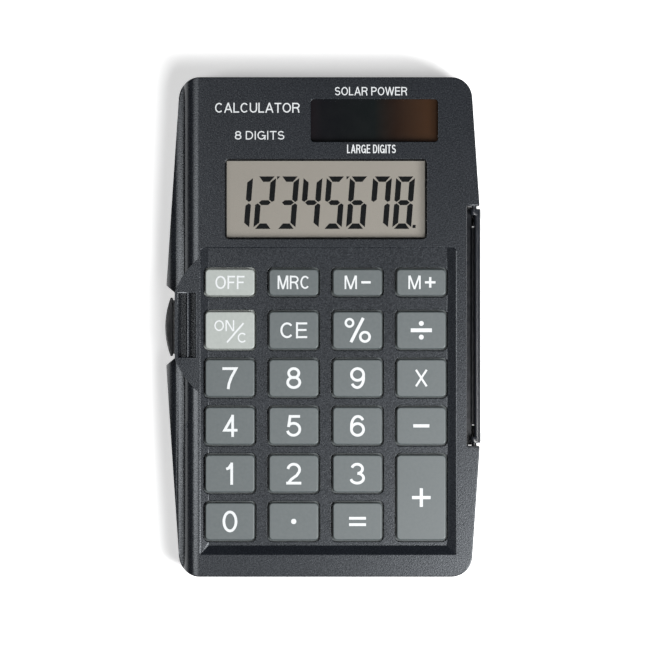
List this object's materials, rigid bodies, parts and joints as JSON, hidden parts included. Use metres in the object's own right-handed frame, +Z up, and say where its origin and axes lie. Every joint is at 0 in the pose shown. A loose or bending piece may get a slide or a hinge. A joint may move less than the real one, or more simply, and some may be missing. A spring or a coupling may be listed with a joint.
{
  "type": "pocket calculator",
  "caption": "Slim hard-cased pocket calculator with rubber-sprung keys, a segment display, a solar window and a flip cover on a double hinge, folded behind the body.",
  "frame": {"origin": "centre of the calculator's plan at the surface it lies on, under the folded cover", "axes": "+X to the right of the keys, +Y toward the display end, +Z up out of the keys"},
  "size_m": [0.0752, 0.118, 0.0137],
  "materials": {
    "housing": "fine grained charcoal",
    "cover_gloss": "polished black",
    "key_grey": "smooth satin",
    "key_pale": "smooth satin",
    "clear_pane": "clear polished",
    "lcd_face": "satin film",
    "lcd_glass": "clear",
    "lcd_reflector": "satin",
    "zebra": "matte",
    "solar": "polished brown black",
    "wire_red": "satin",
    "wire_black": "satin",
    "board": "satin solder resist",
    "epoxy": "satin",
    "capacitor": "satin sleeve",
    "diode": "glossy",
    "silicone": "matte",
    "steel": "brushed",
    "contact": "tinned",
    "screw": "zinc plated"
  },
  "bodies": {
    "calculator_body": {"front_housing": "housing", "rear_housing": "housing", "battery_door": "housing", "display_window": "clear_pane", "solar_window": "clear_pane", "lcd_polariser": "lcd_face", "lcd_glass": "lcd_glass", "lcd_reflector": "lcd_reflector", "zebra_strip": "zebra", "solar_cell": "solar", "solar_wire_red": "wire_red", "solar_wire_black": "wire_black", "circuit_board": "board", "chip_blob": "epoxy", "capacitor": "capacitor", "clamp_diode": "diode", "rubber_keypad": "silicone", "button_cell": "steel", "contact_plus": "contact", "contact_minus": "contact", "battery_door_screw": "screw", "case_screw_1": "screw", "case_screw_2": "screw", "case_screw_3": "screw", "case_screw_4": "screw", "board_screw_1": "screw", "board_screw_2": "screw", "board_screw_3": "screw", "board_screw_4": "screw", "board_screw_5": "screw"},
    "hinge_strip": {"hinge_spine": "cover_gloss"},
    "flip_cover": {"cover": "cover_gloss"},
    "key_off_button": {"key_off": "key_pale"},
    "key_mrc_button": {"key_mrc": "key_grey"},
    "key_m_minus_button": {"key_m_minus": "key_grey"},
    "key_m_plus_button": {"key_m_plus": "key_grey"},
    "key_on_c_button": {"key_on_c": "key_pale"},
    "key_ce_button": {"key_ce": "key_grey"},
    "key_percent_button": {"key_percent": "key_grey"},
    "key_divide_button": {"key_divide": "key_grey"},
    "key_7_button": {"key_7": "key_grey"},
    "key_8_button": {"key_8": "key_grey"},
    "key_9_button": {"key_9": "key_grey"},
    "key_times_button": {"key_times": "key_grey"},
    "key_4_button": {"key_4": "key_grey"},
    "key_5_button": {"key_5": "key_grey"},
    "key_6_button": {"key_6": "key_grey"},
    "key_minus_button": {"key_minus": "key_grey"},
    "key_1_button": {"key_1": "key_grey"},
    "key_2_button": {"key_2": "key_grey"},
    "key_3_button": {"key_3": "key_grey"},
    "key_plus_button": {"key_plus": "key_grey"},
    "key_0_button": {"key_0": "key_grey"},
    "key_point_button": {"key_point": "key_grey"},
    "key_equals_button": {"key_equals": "key_grey"}
  },
  "joints": [
    {"name": "spine_hinge", "type": "hinge", "parent": "calculator_body", "child": "hinge_strip", "pos_m": [0.03581, 0.00025, 0.00725], "axis": [0, -1, 0], "range_deg": [0, 180]},
    {"name": "cover_hinge", "type": "hinge", "parent": "hinge_strip", "child": "flip_cover", "pos_m": [0.03581, 0.00025, 0.00175], "axis": [0, -1, 0], "range_deg": [0, 180]},
    {"name": "press_off", "type": "slide", "parent": "calculator_body", "child": "key_off_button", "axis": [0, 0, -1], "range_m": [0, 0.0008], "stiffness_N_per_m": 600, "springref_m": -0.0003, "deforming": ["rubber_keypad"]},
    {"name": "press_mrc", "type": "slide", "parent": "calculator_body", "child": "key_mrc_button", "axis": [0, 0, -1], "range_m": [0, 0.0008], "stiffness_N_per_m": 600, "springref_m": -0.0003, "deforming": ["rubber_keypad"]},
    {"name": "press_m_minus", "type": "slide", "parent": "calculator_body", "child": "key_m_minus_button", "axis": [0, 0, -1], "range_m": [0, 0.0008], "stiffness_N_per_m": 600, "springref_m": -0.0003, "deforming": ["rubber_keypad"]},
    {"name": "press_m_plus", "type": "slide", "parent": "calculator_body", "child": "key_m_plus_button", "axis": [0, 0, -1], "range_m": [0, 0.0008], "stiffness_N_per_m": 600, "springref_m": -0.0003, "deforming": ["rubber_keypad"]},
    {"name": "press_on_c", "type": "slide", "parent": "calculator_body", "child": "key_on_c_button", "axis": [0, 0, -1], "range_m": [0, 0.0008], "stiffness_N_per_m": 600, "springref_m": -0.0003, "deforming": ["rubber_keypad"]},
    {"name": "press_ce", "type": "slide", "parent": "calculator_body", "child": "key_ce_button", "axis": [0, 0, -1], "range_m": [0, 0.0008], "stiffness_N_per_m": 600, "springref_m": -0.0003, "deforming": ["rubber_keypad"]},
    {"name": "press_percent", "type": "slide", "parent": "calculator_body", "child": "key_percent_button", "axis": [0, 0, -1], "range_m": [0, 0.0008], "stiffness_N_per_m": 600, "springref_m": -0.0003, "deforming": ["rubber_keypad"]},
    {"name": "press_divide", "type": "slide", "parent": "calculator_body", "child": "key_divide_button", "axis": [0, 0, -1], "range_m": [0, 0.0008], "stiffness_N_per_m": 600, "springref_m": -0.0003, "deforming": ["rubber_keypad"]},
    {"name": "press_7", "type": "slide", "parent": "calculator_body", "child": "key_7_button", "axis": [0, 0, -1], "range_m": [0, 0.0008], "stiffness_N_per_m": 600, "springref_m": -0.0003, "deforming": ["rubber_keypad"]},
    {"name": "press_8", "type": "slide", "parent": "calculator_body", "child": "key_8_button", "axis": [0, 0, -1], "range_m": [0, 0.0008], "stiffness_N_per_m": 600, "springref_m": -0.0003, "deforming": ["rubber_keypad"]},
    {"name": "press_9", "type": "slide", "parent": "calculator_body", "child": "key_9_button", "axis": [0, 0, -1], "range_m": [0, 0.0008], "stiffness_N_per_m": 600, "springref_m": -0.0003, "deforming": ["rubber_keypad"]},
    {"name": "press_times", "type": "slide", "parent": "calculator_body", "child": "key_times_button", "axis": [0, 0, -1], "range_m": [0, 0.0008], "stiffness_N_per_m": 600, "springref_m": -0.0003, "deforming": ["rubber_keypad"]},
    {"name": "press_4", "type": "slide", "parent": "calculator_body", "child": "key_4_button", "axis": [0, 0, -1], "range_m": [0, 0.0008], "stiffness_N_per_m": 600, "springref_m": -0.0003, "deforming": ["rubber_keypad"]},
    {"name": "press_5", "type": "slide", "parent": "calculator_body", "child": "key_5_button", "axis": [0, 0, -1], "range_m": [0, 0.0008], "stiffness_N_per_m": 600, "springref_m": -0.0003, "deforming": ["rubber_keypad"]},
    {"name": "press_6", "type": "slide", "parent": "calculator_body", "child": "key_6_button", "axis": [0, 0, -1], "range_m": [0, 0.0008], "stiffness_N_per_m": 600, "springref_m": -0.0003, "deforming": ["rubber_keypad"]},
    {"name": "press_minus", "type": "slide", "parent": "calculator_body", "child": "key_minus_button", "axis": [0, 0, -1], "range_m": [0, 0.0008], "stiffness_N_per_m": 600, "springref_m": -0.0003, "deforming": ["rubber_keypad"]},
    {"name": "press_1", "type": "slide", "parent": "calculator_body", "child": "key_1_button", "axis": [0, 0, -1], "range_m": [0, 0.0008], "stiffness_N_per_m": 600, "springref_m": -0.0003, "deforming": ["rubber_keypad"]},
    {"name": "press_2", "type": "slide", "parent": "calculator_body", "child": "key_2_button", "axis": [0, 0, -1], "range_m": [0, 0.0008], "stiffness_N_per_m": 600, "springref_m": -0.0003, "deforming": ["rubber_keypad"]},
    {"name": "press_3", "type": "slide", "parent": "calculator_body", "child": "key_3_button", "axis": [0, 0, -1], "range_m": [0, 0.0008], "stiffness_N_per_m": 600, "springref_m": -0.0003, "deforming": ["rubber_keypad"]},
    {"name": "press_plus", "type": "slide", "parent": "calculator_body", "child": "key_plus_button", "axis": [0, 0, -1], "range_m": [0, 0.0008], "stiffness_N_per_m": 600, "springref_m": -0.0003, "deforming": ["rubber_keypad"]},
    {"name": "press_0", "type": "slide", "parent": "calculator_body", "child": "key_0_button", "axis": [0, 0, -1], "range_m": [0, 0.0008], "stiffness_N_per_m": 600, "springref_m": -0.0003, "deforming": ["rubber_keypad"]},
    {"name": "press_point", "type": "slide", "parent": "calculator_body", "child": "key_point_button", "axis": [0, 0, -1], "range_m": [0, 0.0008], "stiffness_N_per_m": 600, "springref_m": -0.0003, "deforming": ["rubber_keypad"]},
    {"name": "press_equals", "type": "slide", "parent": "calculator_body", "child": "key_equals_button", "axis": [0, 0, -1], "range_m": [0, 0.0008], "stiffness_N_per_m": 600, "springref_m": -0.0003, "deforming": ["rubber_keypad"]}
  ]
}
